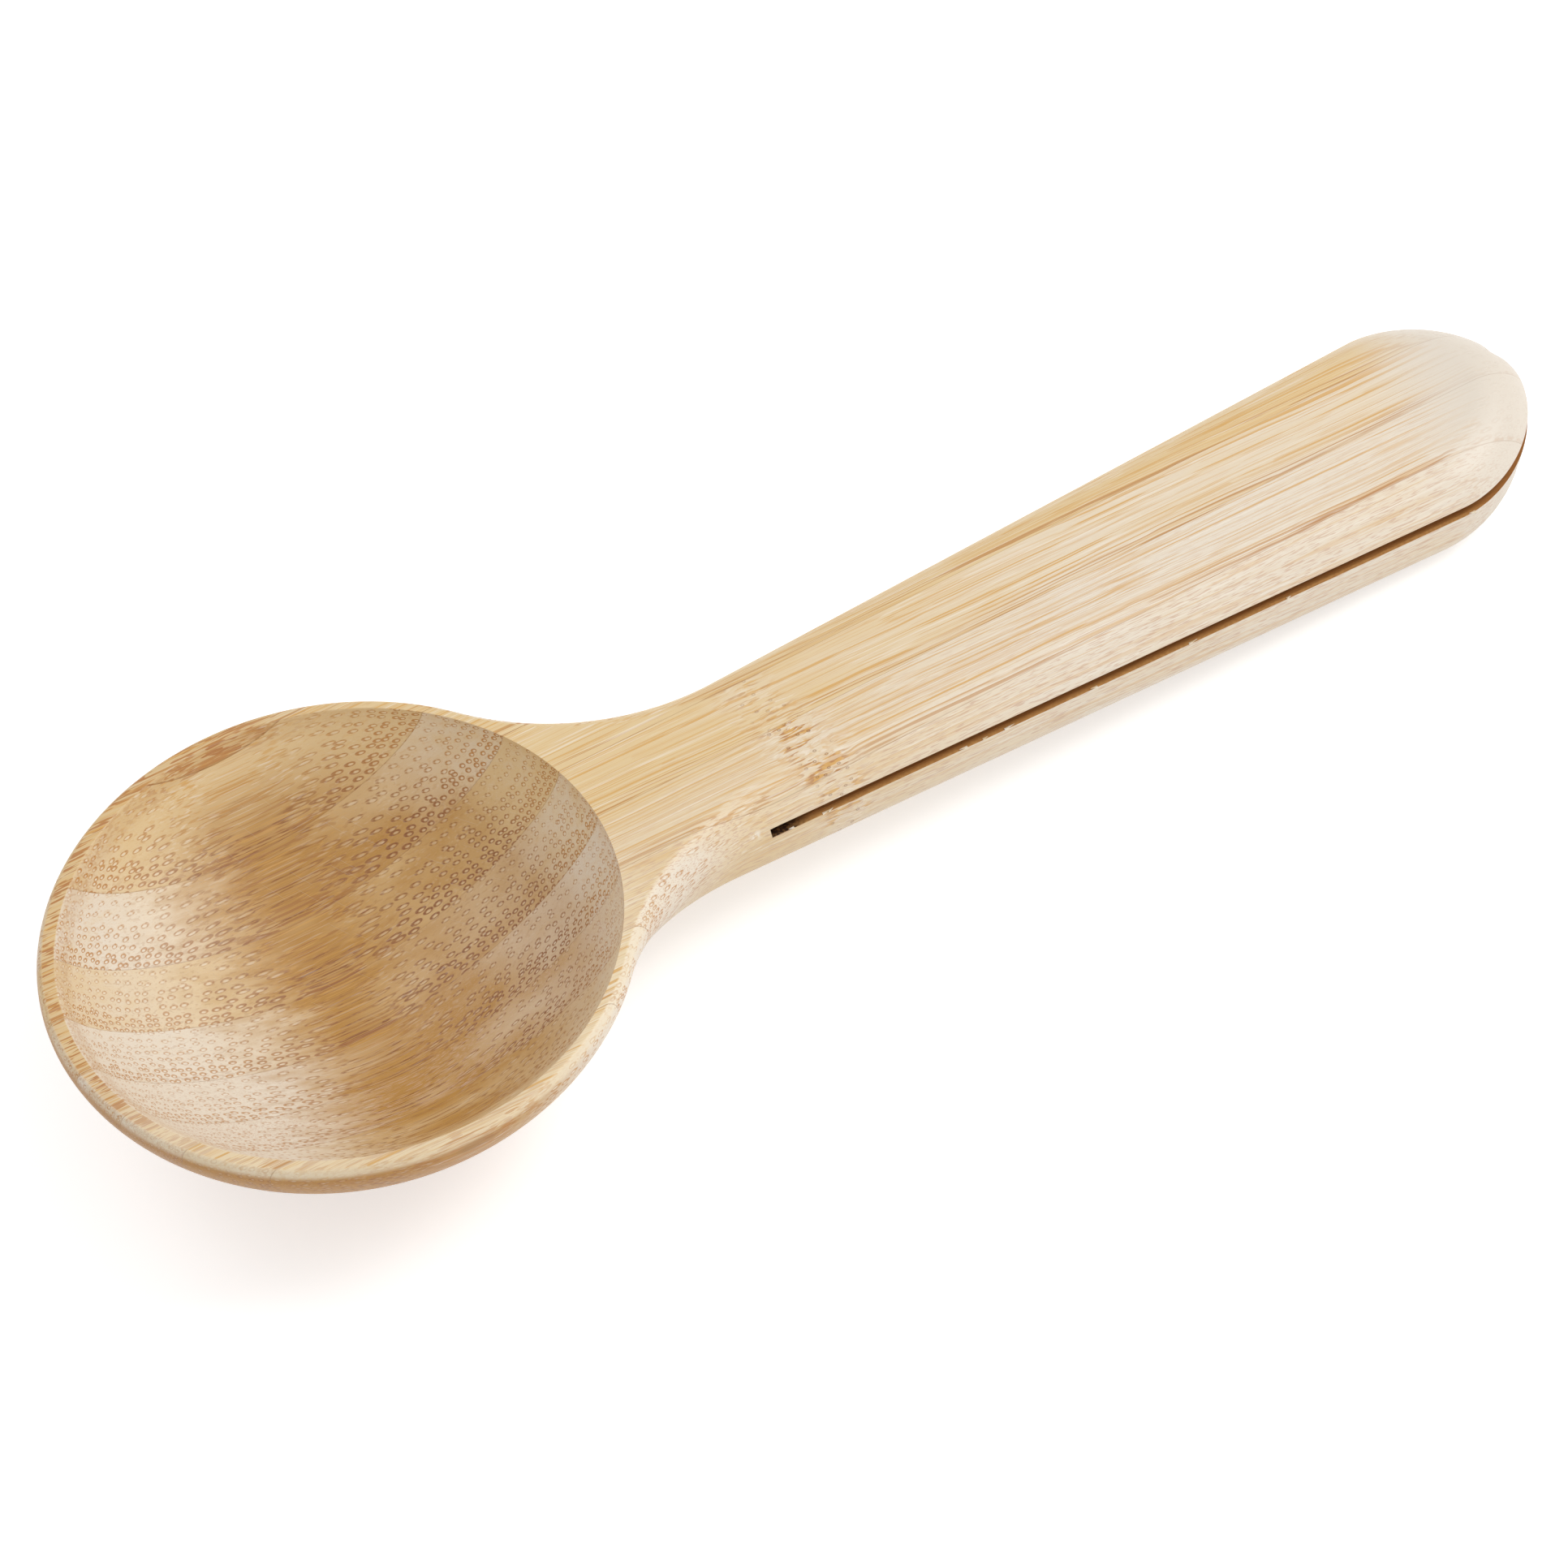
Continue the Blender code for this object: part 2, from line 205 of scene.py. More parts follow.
def hollow_outline(depth):
    """The hollow's edge at this depth. Its round lip fades to a crisp edge at the handle."""
    shift = Vector((HOLLOW_TOWARDS_HANDLE, 0))
    ring = []
    for step in range(HOLLOW_STEPS):
        angle = 2 * math.pi * step / HOLLOW_STEPS
        from_handle = abs((angle + math.pi) % (2 * math.pi) - math.pi)
        fade = (from_handle - LIP_FADE_START) / (LIP_FADE_END - LIP_FADE_START)
        fade = eased(min(max(fade, 0), 1))
        lip = turned(LIP_RADIUS, angle) - shift - turned(hollow_radius(0), angle)
        place = shift + turned(hollow_radius(depth), angle)
        ring.append(place + lip * LIP_SHARE * rounding(depth, fade, LIP_DEPTH))
    return ring


def edges_round(mesh, line, closed):
    pairs = zip(line, line[1:] + line[:1] if closed else line[1:])
    return [mesh.edges.get(pair) for pair in pairs]


def pull(mesh, line, outline, depth, closed=True):
    """Extrudes a line of vertices onto the outline at this depth, and gives the new ones."""
    made = bmesh.ops.extrude_edge_only(mesh, edges=edges_round(mesh, line, closed))["geom"]
    new = {vert for vert in made if isinstance(vert, bmesh.types.BMVert)}
    pulled = []
    for vert, place in zip(line, outline):
        ends = [edge.other_vert(vert) for edge in vert.link_edges]
        vert = next(end for end in ends if end in new)
        vert.co = (*place, -depth)
        pulled.append(vert)
    return pulled


def ring_of(mesh, outline):
    """A closed line of vertices on the top face."""
    ring = bmesh.ops.create_circle(mesh, segments=len(outline), radius=1)["verts"]
    for vert, place in zip(ring, outline):
        vert.co = (*place, 0)
    return ring


def quarter(steps, height):
    """Depths round a quarter turn of this height, closer together at its start."""
    return [height * (1 - math.cos(t * math.pi / 2)) for t in steps_to(steps)]


# the outside, down to the handle's underside
blank = bmesh.new()
outer_edge = ring_of(blank, scoop_outline(0))
side_height = HANDLE_THICKNESS - UNDER_EDGE_RADIUS - TOP_EDGE_RADIUS
depths = [RIM_EDGE_HEIGHT / 40, RIM_EDGE_HEIGHT / 12, SLIT_BELOW_TOP, HANDLE_THICKNESS]
depths += quarter(TOP_EDGE_STEPS, TOP_EDGE_RADIUS)
depths += [TOP_EDGE_RADIUS + side_height * t for t in (0.35, 0.7)]
depths += [HANDLE_THICKNESS - depth for depth in quarter(UNDER_EDGE_STEPS, UNDER_EDGE_RADIUS)]
line = outer_edge
for depth in sorted(depths):
    line = pull(blank, line, scoop_outline(depth), depth)

# the handle's underside
neck_line = line[BOWL_STEPS : len(line) - BOWL_STEPS + 1]
neck_places = dome_outline(HANDLE_THICKNESS)[BOWL_STEPS : len(line) - BOWL_STEPS + 1]
under_neck = pull(blank, neck_line, neck_places, HANDLE_THICKNESS, closed=False)
rungs = [blank.edges.get(pair) for pair in zip(neck_line, under_neck)]
bmesh.ops.delete(blank, geom=rungs, context="EDGES")
corners = {under_neck[0]: neck_line[0], under_neck[-1]: neck_line[-1]}
bmesh.ops.weld_verts(blank, targetmap=corners)
under_edges = edges_round(blank, neck_line, False)
under_edges += edges_round(blank, [neck_line[0], *under_neck[1:-1], neck_line[-1]], False)
bmesh.ops.triangle_fill(blank, use_beauty=True, edges=under_edges)

# the bowl's dome below the handle
line = line[: BOWL_STEPS + 1] + under_neck[1:-1] + line[len(line) - BOWL_STEPS :]
neck_end = HANDLE_THICKNESS + UNDER_NECK_DEPTH
dome_height = BOWL_DEPTH - neck_end
depths = [HANDLE_THICKNESS + drop for drop in quarter(NECK_DROP_STEPS, UNDER_NECK_DEPTH)]
depths += [neck_end + dome_height * math.sin(t * math.pi / 2) for t in steps_to(DOME_STEPS)]
for depth in depths:
    line = pull(blank, line, dome_outline(depth), depth)
bmesh.ops.contextual_create(blank, geom=edges_round(blank, line, True))

# the hollow, and the top face round it
hollow_edge = ring_of(blank, hollow_outline(0))
wall_height = HOLLOW_DEPTH - LIP_DEPTH
depths = quarter(LIP_STEPS, LIP_DEPTH)
depths += [LIP_DEPTH + wall_height * math.sin(t * math.pi / 2) for t in steps_to(FLOOR_STEPS)]
line = hollow_edge
for depth in depths:
    line = pull(blank, line, hollow_outline(depth), depth)
bmesh.ops.contextual_create(blank, geom=edges_round(blank, line, True))
top_edges = edges_round(blank, outer_edge, True) + edges_round(blank, hollow_edge, True)
bmesh.ops.triangle_fill(blank, use_beauty=True, edges=top_edges)
bmesh.ops.recalc_face_normals(blank, faces=blank.faces)

# the small dent in the far side, near the handle's end
near_dent = {vert for vert in blank.verts if (vert.co - DENT).length < DENT_REACH * 2}
dented = [edge for edge in blank.edges if near_dent.issuperset(edge.verts)]
bmesh.ops.subdivide_edges(blank, edges=dented, cuts=2, use_grid_fill=True)
blank.normal_update()
for vert in blank.verts:
    nearness = max(1 - (vert.co - DENT).length / DENT_REACH, 0)
    vert.co -= vert.normal * DENT_DEPTH * eased(nearness)
bmesh.ops.translate(blank, vec=BLANK_TO_ROW, verts=blank.verts)

# The bamboo. Its bundles of fibres run the length of the scoop: few and wide on the far side of
# each strip, small, dark and close on the near side, where the culm's skin was. The finish is a
# solid pattern, with rings where the surface crosses the fibres and streaks where it follows them.
# The finish also paints some shade and light: shade, in part, deep in the bowl, on its down-turned
# outside, in the saw cut and on the walls turned from the key light; light on the near lip and on
# the end grain that faces the key.
STRIPS_ACROSS_BOWL = 8.37
STRIP_WIDTH = 2 * BOWL_RADIUS / STRIPS_ACROSS_BOWL
PALE = (0.82, 0.725, 0.595, 1)
HONEY = (0.77, 0.575, 0.31, 1)
TAN = (0.46, 0.235, 0.05, 1)
SHEATH = (0.47, 0.20, 0.055, 1)
DEEP_SHEATH = (0.25, 0.09, 0.025, 1)
PITH = (0.91, 0.83, 0.71, 1)
CREAM = (0.88, 0.75, 0.53, 1)
GOLD = (0.68, 0.37, 0.09, 1)
ROSE = (0.62, 0.40, 0.27, 1)
CHALK = (0.74, 0.665, 0.57, 1)
GLUE = (0.33, 0.17, 0.07, 1)
SAWN = (0.42, 0.18, 0.05, 1)
SAWN_LIP = (0.60, 0.31, 0.10, 1)
# near black for the saw cut's blind end: saw burn and painted shade
SCORCH_AND_SHADE = (0.03, 0.010, 0.004, 1)

# The pattern is laid out in millimetres from the blank's zero.
STRIP_MM = STRIP_WIDTH * 1000
HALF_WIDTH_MM = HANDLE_HALF_WIDTH_AT_BOWL * 1000
SLIT_START_MM = SLIT_START * 1000
HALF_SLIT_MM = SLIT_WIDTH * 500
SLIT_MIDDLE_MM = SLIT_BELOW_TOP * 1000 + HALF_SLIT_MM
GRAIN_TURN = 0.027
GRAIN_WANDER_MM = 1.5
GRAIN_SHIVER_MM = 0.12
RING_FLATNESS = 1.3
KNOT_PLACE_MM = 51.4
KNOT_SLANT = 0.22
KNOT_BEND_MM = 1.6
TUFT_ALONG_MM, TUFT_DEPTH_MM = 43.4, 3.6

# Bundle kinds: spacing, sheath's and heart's radius, how broken the sheath is, and the share of
# the strip's width that the kind fills, counted from the far side.
WIDE_BUNDLES = (1.04, 0.27, 0.165, 0.7, -0.2, 0.34)
MIDDLING_BUNDLES = (0.88, 0.265, 0.155, 0.4, 0.34, 0.70)
CLOSE_BUNDLES = (0.74, 0.26, 0.13, 0.15, 0.70, 1.2)


class Grain:
    """A number, colour or place that varies through the wood. Sums on it add the nodes for them."""

    def __init__(self, tree, socket):
        self.tree, self.socket = tree, socket

    def node(self, kind, settings=None, inputs=None, output=0):
        """A new node of this kind, with its settings and its sockets' values or links."""
        made = self.tree.nodes.new("ShaderNode" + kind)
        for name, value in (settings or {}).items():
            setattr(made, name, value)
        for name, value in (inputs or {}).items():
            if isinstance(value, Grain):
                self.tree.links.new(value.socket, made.inputs[name])
            else:
                made.inputs[name].default_value = value
        return Grain(self.tree, made.outputs[output])

    def __getitem__(self, output):
        return Grain(self.tree, self.socket.node.outputs[output])

    def sum(self, operation, *values):
        return self.node("Math", {"operation": operation}, dict(enumerate(values)))

    def __add__(self, other):
        return self.sum("ADD", self, other)

    def __sub__(self, other):
        return self.sum("SUBTRACT", self, other)

    def __rsub__(self, other):
        return self.sum("SUBTRACT", other, self)

    def __mul__(self, other):
        return self.sum("MULTIPLY", self, other)

    def __truediv__(self, other):
        return self.sum("DIVIDE", self, other)

    def __abs__(self):
        return self.sum("ABSOLUTE", self)

    __radd__ = __add__
    __rmul__ = __mul__

    def most(self, other):
        """The larger of the two."""
        return self.sum("MAXIMUM", self, other)

    def rise(self, start, end):
        """0 below start, 1 above end and a soft step between."""
        ends = {"Value": self, "From Min": start, "From Max": end}
        return self.node("MapRange", {"interpolation_type": "SMOOTHSTEP"}, ends)

    def fall(self, start, end):
        return 1 - self.rise(start, end)

    def parts(self):
        """The three numbers of a place."""
        return [self.node("SeparateXYZ", None, {"Vector": self})[axis] for axis in "XYZ"]

    def place(self, x, y, z=0.0):
        return self.node("CombineXYZ", None, {"X": x, "Y": y, "Z": z})

    def noise(self, x, y, z, detail=2.0):
        place = self.place(x, y, z)
        return self.node("TexNoise", None, {"Vector": place, "Scale": 1.0, "Detail": detail})

    def cells(self, x, y, randomness):
        """Points scattered on a plane: the distance to the nearest one, and the way from it."""
        lattice = self.place(x, y)
        inputs = {"Vector": lattice, "Scale": 1.0, "Randomness": randomness}
        cell = self.node("TexVoronoi", {"voronoi_dimensions": "2D"}, inputs)
        ends = {0: lattice, 1: cell["Position"]}
        aside = self.node("VectorMath", {"operation": "SUBTRACT"}, ends)
        return cell["Distance"], aside.parts()

    def between(self, first, second):
        """A colour from the first at 0 to the second at 1."""
        return self.node("Mix", {"data_type": "RGBA"}, {0: self, 6: first, 7: second}, 2)

    def tinted(self, colour, share):
        """This colour turned towards another one."""
        return share.between(self, colour)


def bundles(across, up, share, kind, seed):
    """Sheaths and pale hearts of one kind of bundle. A bundle's own place picks its kind."""
    spacing, outer, inner, broken, start, end = kind
    east, north = across / spacing + seed, up / spacing + seed * 1.7
    distance, (east, north, _) = across.cells(east, north, 0.5)
    distance, east, north = distance * spacing, east * spacing, north * spacing
    own_share = share + east / STRIP_MM
    kept = own_share.rise(start - 0.001, start + 0.001) * own_share.fall(end - 0.001, end + 0.001)
    heart_east = east + 0.05
    heart_distance = across.sum("SQRT", heart_east * heart_east + north * north)
    corner = abs(east * north) * 2 / (distance * distance + 0.002)
    sheath = distance.fall(outer - 0.025, outer + 0.025)
    sheath = sheath * heart_distance.rise(inner - 0.03, inner + 0.03)
    sheath = sheath * kept * (1 - corner.rise(0.55, 0.95) * broken)
    return sheath, heart_distance.fall(inner * 0.5, inner) * kept


def bamboo(slot, strip, honey, rosy, knotty):
    """The finish of one strip, counted from the near side."""
    material = bpy.data.materials.new(slot)
    material.use_nodes = True
    tree = material.node_tree
    wood = Grain(tree, None)
    rest = wood.node("Attribute", {"attribute_name": "blank_place"}, None, "Vector")
    rest = rest.node("VectorMath", {"operation": "SCALE"}, {"Vector": rest, "Scale": 1000.0})
    x, y, z = rest.parts()
    along, _, upward = wood.node("TexCoord", None, None, "Normal").parts()
    seed = 3.7 + strip * 7.3

    # how far the surface cuts across the fibres, and the parts of the scoop
    depth = 0 - z
    ringed = abs(along).rise(0.04, 0.30)
    # shaded: the walls turned away from the key light; the tints keyed to it below are painted
    # shade
    shaded = along.fall(-0.35, 0.15)
    in_bowl = x.fall(34, 90)
    sunk = depth.rise(1.5, 9) * x.fall(22, 32)
    crest = depth.fall(1.2, 2.6) * x.fall(0, 22)
    # the near lip inside the hollow, which gets painted light below
    near_lip_painted_light = depth.fall(0.5, 4.5) * y.fall(-16, -4) * upward.rise(0.1, 0.4) * x.fall(24, 34)
    # outside: the bowl's outer faces that turn downwards; their tan and brown tint below is partly
    # the wood's tone and partly painted shade
    outside = upward.fall(0.15, 0.5) * (depth.rise(0, 1.8) * 0.5 + 0.5) * x.fall(-8, 20)
    bleached = x.rise(121, 134)
    marked = ringed.most(sunk * 0.9).most(crest)

    # the place in the strip, whose fibres wander, shiver and bend round the knots of the node
    near_face = strip * STRIP_MM - BOWL_RADIUS * 1000
    share = 1 - (y - near_face) / STRIP_MM
    skin_side = share.rise(0.78, 0.92)
    wander_x, wander_y, _ = wood.noise(x / 42 + seed, y / 9, z / 9)["Color"].parts()
    across = y + x * GRAIN_TURN + (wander_x - 0.5) * GRAIN_WANDER_MM
    up = z + (wander_y - 0.5) * GRAIN_WANDER_MM
    shiver_x, shiver_y, _ = wood.noise(x / 4.5 + seed, y / 2, z / 2, 1)["Color"].parts()
    across = across + (shiver_x - 0.5) * GRAIN_SHIVER_MM
    up = up + (shiver_y - 0.5) * GRAIN_SHIVER_MM
    if knotty:
        ahead = x - KNOT_PLACE_MM + y * KNOT_SLANT
        knot = abs(ahead).fall(0.8, 5.5) * knotty
        bend_x, bend_y, _ = wood.noise(x / 3.4 + seed, y / 2.4, z / 2.4)["Color"].parts()
        across = across + (bend_x - 0.5) * knot * KNOT_BEND_MM
        up = up + (bend_y - 0.5) * knot * KNOT_BEND_MM

    # the bundles, broken up by nicks where the cutter tore them
    flat = up * RING_FLATNESS
    wide, wide_heart = bundles(across, flat, share, WIDE_BUNDLES, seed)
    middling, middling_heart = bundles(across, flat, share, MIDDLING_BUNDLES, seed + 2.3)
    close, close_heart = bundles(across, flat, share, CLOSE_BUNDLES, seed + 4.1)
    # painted shade: the hearts are half as pale on the walls turned from the key light
    heart = (wide_heart + middling_heart + close_heart) * (1 - shaded * 0.5)
    on_floor = sunk * (1 - ringed)
    nick = wood.noise(x / 1.7, across / 0.5, up / 0.5 + seed)["Fac"].fall(0.45, 0.54)
    sheath = (wide + middling + close) * (1 - nick * on_floor.most(crest) * 0.6)

    # clouds, streaks and lines along the fibres, from broad to fine
    cloud = wood.noise(x / 16, y / 6 + seed, z / 6)["Fac"]
    streak = wood.noise(x / 60, across / 1.1, up / 1.1 + seed, 2)["Fac"]
    line = wood.noise(x / 80 + seed, across / 0.30, up / 0.30, 2)["Fac"]
    pale_line = wood.noise(x / 26, across / 0.24 + seed, up / 0.24, 1)["Fac"]
    hair = wood.noise(x / 60, across / 0.15, up / 0.15 + seed, 1)["Fac"].rise(0.56, 0.62)
    dash = wood.noise(x / 1.5, across / 0.11, up / 0.11 + seed, 1)["Fac"]
    hook = wood.noise(x / 3.0, across / 0.3 + seed, up / 0.3, 1)["Fac"].rise(0.53, 0.58)

    # the ground colour: deeper inside the bowl and on its outside, partly the wood's own deeper
    # tone and partly painted shade; paler on end grain
    end_grain = (abs(along) + (streak - 0.5) * 0.4 + (cloud - 0.5) * 0.4).rise(0.02, 0.55)
    tone = honey + (cloud - 0.5) * 0.8 + (streak - 0.5) * 0.9 + in_bowl * 0.68
    # painted shade: the end grain is made less pale on the walls turned from the key light
    tone = tone - end_grain * (1.1 - shaded * 0.5) - bleached * 0.5
    # partly the wood's deeper tone, partly painted shade: deep in the bowl the ground turns tan,
    # most on the long grain and on the walls turned from the key light; the rim's crest takes a
    # little of the same tint
    bowl_tone_and_shade = sunk * (1 - end_grain * (1.1 - shaded * 0.7)) + crest * 0.3
    bowl_tone_and_shade = bowl_tone_and_shade * ((cloud - 0.5) * 2.0 + 0.95) * (1.0 - x.fall(-24, -4) * 0.42)
    # painted shade: a tan tint on the end grain of the hollow's walls that are turned from the key
    # light
    wall = end_grain * shaded * depth.rise(0.5, 3) * x.fall(22, 32)
    colour = tone.between(PALE, HONEY)
    colour = colour.tinted(TAN, bowl_tone_and_shade + outside * 0.9 + wall * 0.12)
    # partly the wood's tone, partly painted shade: the down-turned outer faces, already tinted tan,
    # are darkened further towards sheath brown
    colour = colour.tinted(SHEATH, outside * 0.25)

    # the bundles' sheaths and hearts
    # sheaths darker deep in the bowl, on the walls turned from the key light and on the down-turned
    # outside: partly the wood's tone, partly painted shade
    sheath_tone_and_shade = sunk * (1 - end_grain * (1 - shaded)) + outside * 0.6
    sheath_colour = (marked * 0.8).between(GOLD, SHEATH).tinted(DEEP_SHEATH, sheath_tone_and_shade)
    strength = (share.rise(0, 0.8) * 0.3 + 0.68) * (marked * 0.6 + 0.4) * (1 - bleached * 0.65)
    colour = colour.tinted(sheath_colour, sheath * strength)
    colour = colour.tinted(PITH, heart * (ringed * 0.35 + 0.05))
    colour = colour.tinted(SHEATH, hook * crest * (1 - ringed * 0.7))
    # painted light: the near lip of the hollow is made cream and bright
    colour = colour.tinted(CREAM, near_lip_painted_light * 0.55)
    # painted light: the end grain on the walls that face the key light is made paler
    colour = colour.tinted(PITH, end_grain * (1 - shaded) * sunk * 0.18)

    # hairs, lines and dashes on the long grain, and the bleached end of the handle
    colour = colour.tinted(GOLD, hair * (0.45 - ringed * 0.35) * (1 - bleached) * (1 - rosy))
    lined = (line + skin_side * 0.06).rise(0.575, 0.635) * (0.85 - ringed * 0.6)
    lined = lined * (1 - bleached * 0.4) * (1 - rosy)
    # lines browner and darker deep in the bowl: partly the wood's tone, partly painted shade
    line_colour = (skin_side * 0.8 + sunk * 0.5).between(GOLD, SHEATH)
    colour = colour.tinted(line_colour.tinted(DEEP_SHEATH, sunk * 0.6), lined)
    colour = colour.tinted(PITH, pale_line.rise(0.60, 0.70) * (0.5 - marked * 0.4))
    colour = colour.tinted(ROSE, dash.rise(0.52, 0.66) * rosy)
    colour = colour.tinted(CHALK, bleached * 0.85)

    if knotty:
        # the node across the handle: pale ground, brown smudges, white fibres and small eyes
        smudge = wood.noise(x / 2.6, y / 0.4, z / 0.4 + seed, 1)["Fac"].rise(0.54, 0.60)
        smudge = smudge * abs(ahead).fall(1.2, 4.4)
        smudge_depth = wood.noise(x / 1.2, across / 0.3, up / 0.3)["Fac"].rise(0.46, 0.6)
        white = wood.noise(x / 2.2, across / 0.35, up / 0.35, 1)["Fac"].rise(0.6, 0.68)
        eye, _ = wood.cells(ahead / 1.8 + seed, (y + z) / 1.6, 1.0)
        eye = eye.fall(0.09, 0.15) * eye.rise(0.02, 0.06) * abs(ahead).fall(1.6, 2.6)
        colour = colour.tinted(PALE, abs(ahead).fall(2, 5.5) * knotty * 0.25)
        colour = colour.tinted(smudge_depth.between(GOLD, SHEATH), smudge * knotty * 0.9)
        colour = colour.tinted(PITH, white * knot * 0.5)
        colour = colour.tinted(DEEP_SHEATH, eye * 0.55 * knotty)

        # a streak of resin by the glue line, and a tuft of torn fibre at the saw cut's blind end
        resin = wood.noise(x / 7, y / 0.5, z / 0.5)["Fac"].rise(0.4, 0.55)
        resin = resin * abs(share - 0.965).fall(0.01, 0.035) * x.rise(98, 112)
        colour = colour.tinted(SHEATH, resin * knotty * (1 - bleached * 0.8) * 0.8)
        tuft = wood.noise(x / 0.5, y / 0.4, z / 0.3)["Fac"].rise(0.4, 0.6) * y.fall(-9, -8)
        tuft = tuft * abs(x - TUFT_ALONG_MM).fall(0.2, 0.9)
        tuft = tuft * abs(z + TUFT_DEPTH_MM).fall(0.2, 0.8)
        colour = colour.tinted(PITH, tuft * 0.8)

    # fine scratches in the bowl, slantwise to the grain, and the glue line
    scratch_x, scratch_y = x * 0.55 - y * 0.84, x * 0.84 + y * 0.55
    _, (long, thin, _) = wood.cells(scratch_x / 8, scratch_y / 1.9, 1.0)
    scratch = abs(thin).fall(0.004, 0.012) * abs(long).fall(0.1, 0.2)
    scratch = scratch * sunk * upward.rise(0.1, 0.4)
    colour = colour.tinted(PITH, scratch * 0.2)
    colour = colour.tinted(GLUE, share.rise(0.984, 0.994) * (in_bowl * 0.15 + 0.25))

    # the saw cut's rough faces, lighter at the lips and darker inside, near black at the blind end:
    # partly saw burn and partly painted shade
    kerf = abs(depth - SLIT_MIDDLE_MM).fall(HALF_SLIT_MM, HALF_SLIT_MM + 0.02)
    kerf = kerf * x.rise(SLIT_START_MM - 0.05, SLIT_START_MM)
    lip = (abs(y) - x * HANDLE_TAPER).rise(HALF_WIDTH_MM - 0.9, HALF_WIDTH_MM - 0.15)
    fuzz = wood.noise(x / 0.35, y / 0.35, z / 0.2)["Fac"].rise(0.35, 0.65)
    sawn_colour = (lip * (fuzz * 0.5 + 0.5)).between(SAWN, SAWN_LIP)
    # partly saw burn, partly painted shade: the blind end of the cut turns near black
    sawn_colour = sawn_colour.tinted(SCORCH_AND_SHADE, x.fall(46.5, 50.5) * (1.1 - fuzz * 0.4))
    colour = colour.tinted(sawn_colour, kerf)

    surface = tree.nodes["Principled BSDF"]
    surface.inputs["Roughness"].default_value = 0.44
    tree.links.new(colour.socket, surface.inputs["Base Color"])
    relief = heart * 0.5 - sheath * 0.5 - lined * 0.5 + dash * 0.3 + scratch
    relief = relief.node("Bump", None, {"Height": relief, "Strength": 0.5, "Distance": 0.00004})
    tree.links.new(relief.socket, surface.inputs["Normal"])
    return material


# The nine strips that make the bowl, the neck and the upper jaw of the clip. Each is parted from
# the carved blank at its glue lines, and the four that reach the handle are sawn off at the saw
# cut. Each has its shares of honey colour, rosy dashes and node.
STRIPS = (
    ("near_rim", 0.3, 0.1, 0),
    ("near_wall", 0.3, 0.1, 0),
    ("near_handle", 0.1, 0.65, 0.8),
    ("near_core", 0.05, 0.25, 1),
    ("far_core", 0.4, 0.1, 0.55),
    ("far_handle", 1.0, 0.1, 0),
    ("far_wall", 0.5, 0.1, 0),
    ("far_rim", 1.1, 0.1, 0),
    ("far_edge", 1.1, 0.1, 0),
)
JAWS = {
    "near_handle": "lower_jaw_near_strip",
    "near_core": "lower_jaw_near_core",
    "far_core": "lower_jaw_far_core",
    "far_handle": "lower_jaw_far_strip",
}
SAW_SNAP = 1e-7
SAME_PLACE = 1e-6
SHARP_EDGE = math.radians(35)

slit_start = BLANK_TO_ROW + Vector((SLIT_START, 0, -SLIT_BELOW_TOP))


def all_of(mesh):
    return mesh.verts[:] + mesh.edges[:] + mesh.faces[:]


def sawn(mesh, place, outwards):
    """Cuts off what lies beyond a plane and closes the cut."""
    cut = bmesh.ops.bisect_plane(
        mesh,
        geom=all_of(mesh),
        dist=SAW_SNAP,
        plane_co=place,
        plane_no=outwards,
        clear_outer=True,
    )
    edges = [edge for edge in cut["geom_cut"] if isinstance(edge, bmesh.types.BMEdge)]
    bmesh.ops.holes_fill(mesh, edges=edges)


def without_lower_jaw(strip):
    """Saws off what lies below the saw cut, past its blind end, and closes both faces."""
    saw = {"dist": SAW_SNAP, "plane_co": slit_start}
    bmesh.ops.bisect_plane(strip, geom=all_of(strip), plane_no=(1, 0, 0), **saw)
    handle = [face for face in strip.faces if face.calc_center_median().x > slit_start.x]
    bounds = {edge for face in handle for edge in face.edges}
    bounds |= {vert for face in handle for vert in face.verts}
    bmesh.ops.bisect_plane(strip, geom=handle + list(bounds), plane_no=(0, 0, -1), **saw)
    handle = [face for face in strip.faces if face.calc_center_median().x > slit_start.x]
    waste = [face for face in handle if face.calc_center_median().z < slit_start.z]
    bmesh.ops.delete(strip, geom=waste, context="FACES")

    rim = [edge for edge in strip.edges if edge.is_boundary]
    level = {
        vert
        for edge in rim
        for vert in edge.verts
        if abs(vert.co.z - slit_start.z) < SAME_PLACE
    }
    corner = [vert for vert in level if abs(vert.co.x - slit_start.x) < SAME_PLACE]
    root = bmesh.ops.contextual_create(strip, geom=corner)["edges"]
    along = [edge for edge in rim if level.issuperset(edge.verts)]
    down = [edge for edge in rim if not level.issuperset(edge.verts)]
    bmesh.ops.contextual_create(strip, geom=along + root)
    bmesh.ops.contextual_create(strip, geom=down + root)


def finished(mesh, name, material):
    """A piece as an object whose place is in its mesh, with each point's place in the blank."""
    places = mesh.verts.layers.float_vector.new("blank_place")
    for vert in mesh.verts:
        vert[places] = vert.co - BLANK_TO_ROW
    for face in mesh.faces:
        face.smooth = True
    made = bpy.data.meshes.new(name)
    mesh.to_mesh(made)
    mesh.free()
    made.set_sharp_from_angle(angle=SHARP_EDGE)
    made.materials.append(material)
    piece = bpy.data.objects.new(name, made)
    bpy.context.scene.collection.objects.link(piece)
    return piece


def glue_place(strip):
    """A point on the near face of this strip, counted from the near side."""
    return BLANK_TO_ROW + Vector((0, strip * STRIP_WIDTH - BOWL_RADIUS, 0))


